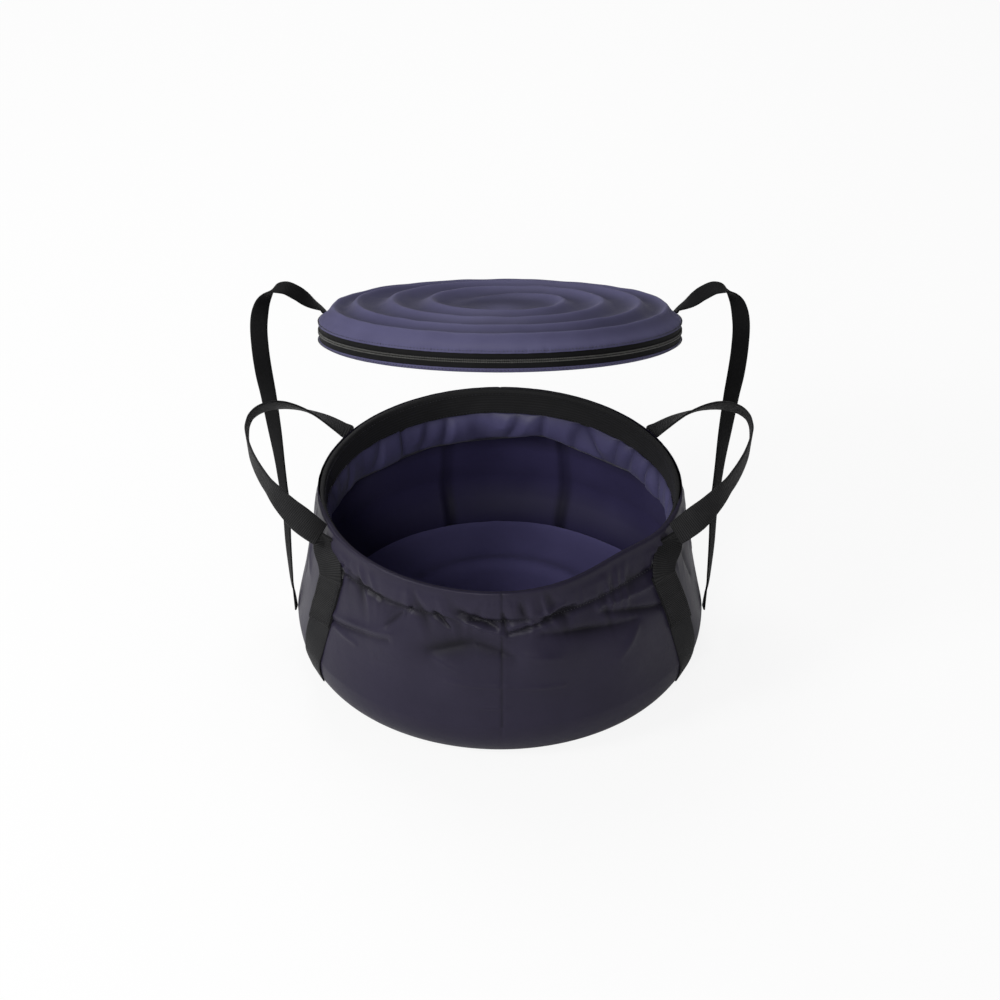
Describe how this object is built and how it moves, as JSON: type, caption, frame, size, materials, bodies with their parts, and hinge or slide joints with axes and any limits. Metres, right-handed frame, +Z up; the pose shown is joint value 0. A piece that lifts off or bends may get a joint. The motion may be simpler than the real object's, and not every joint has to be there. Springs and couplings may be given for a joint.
{
  "type": "collapsible camp washbasin",
  "caption": "Round soft-walled camp washbasin with a hooped rim, two webbing carry handles and a zip-round case as its lid.",
  "frame": {"origin": "centre of the flat underside, on the ground", "axes": "+Z up, +Y towards the rear where the lid hangs, +X to the right seen from the front"},
  "size_m": [0.4314, 0.3836, 0.3458],
  "materials": {
    "outer_cloth": "coated woven polyester, soft sheen",
    "inner_cloth": "coated woven lining",
    "case_cloth": "cloth bonded to moulded foam",
    "webbing": "flat woven webbing",
    "floor_foam": "closed-cell foam board",
    "spring_steel": "round spring wire",
    "zip_plastic": "nylon coil",
    "zip_metal": "dark painted zinc"
  },
  "bodies": {
    "base": {"base_cover": "outer_cloth", "base_pan": "floor_foam", "floor_liner": "inner_cloth", "outer_wall": "outer_cloth", "liner_wall": "inner_cloth", "left_front_wall_strap": "webbing", "left_rear_wall_strap": "webbing", "right_front_wall_strap": "webbing", "right_rear_wall_strap": "webbing", "left_front_handle_end": "webbing", "left_rear_handle_end": "webbing", "right_front_handle_end": "webbing", "right_rear_handle_end": "webbing"},
    "rim": {"rim_hoop": "spring_steel", "rim_band": "webbing", "rim_facing": "inner_cloth"},
    "left_handle": {"left_handle_loop": "webbing"},
    "right_handle": {"right_handle_loop": "webbing"},
    "tethers": {"left_tether": "webbing", "right_tether": "webbing"},
    "case_upper": {"upper_shell": "case_cloth", "upper_lining": "inner_cloth", "upper_zip_tape": "webbing", "upper_zip_teeth": "zip_plastic"},
    "case_lower": {"lower_shell": "case_cloth", "lower_lining": "inner_cloth", "lower_zip_tape": "webbing", "lower_zip_teeth": "zip_plastic", "case_spine": "webbing", "left_zip_stop": "zip_metal", "right_zip_stop": "zip_metal"},
    "slider": {"zip_slider": "zip_metal"},
    "puller": {"zip_puller": "zip_metal"}
  },
  "joints": [
    {"name": "rim_collapse", "type": "slide", "parent": "base", "child": "rim", "axis": [0, 0, -1], "range_m": [0, 0.112], "deforming": ["outer_wall", "liner_wall", "rim_facing", "left_front_wall_strap", "left_rear_wall_strap", "right_front_wall_strap", "right_rear_wall_strap", "left_front_handle_end", "left_rear_handle_end", "right_front_handle_end", "right_rear_handle_end"]},
    {"name": "left_handle_swing", "type": "hinge", "parent": "rim", "child": "left_handle", "pos_m": [-0.14213, 0.01306, 0.154], "axis": [0.0915, 0.9958, 0], "range_deg": [-95, 35]},
    {"name": "right_handle_swing", "type": "hinge", "parent": "rim", "child": "right_handle", "pos_m": [0.14213, 0.01306, 0.154], "axis": [0.0915, -0.9958, 0], "range_deg": [-95, 35]},
    {"name": "lid_lower", "type": "slide", "parent": "rim", "child": "tethers", "axis": [0, -0.5228, -0.8525], "range_m": [0, 0.1243], "deforming": ["left_tether", "right_tether"]},
    {"name": "lid_level", "type": "hinge", "parent": "tethers", "child": "case_upper", "pos_m": [0, 0.065, 0.2747], "axis": [1, 0, 0], "range_deg": [0, 22.6]},
    {"name": "case_open", "type": "hinge", "parent": "case_upper", "child": "case_lower", "pos_m": [0, 0.20406, 0.21061], "axis": [-1, 0, 0], "range_deg": [-30, 0]},
    {"name": "zip_travel", "type": "hinge", "parent": "case_upper", "child": "slider", "pos_m": [0, 0.065, 0.2747], "axis": [0, 0.3827, 0.9239], "range_deg": [0, 311]},
    {"name": "puller_flip", "type": "hinge", "parent": "slider", "child": "puller", "pos_m": [-0.06801, 0.19717, 0.21996], "axis": [0, -0.3827, -0.9239], "range_deg": [0, 140]}
  ],
  "couplings": [
    {"joint": "lid_level", "follows": "lid_lower", "rad_per_m": 3.1582}
  ]
}
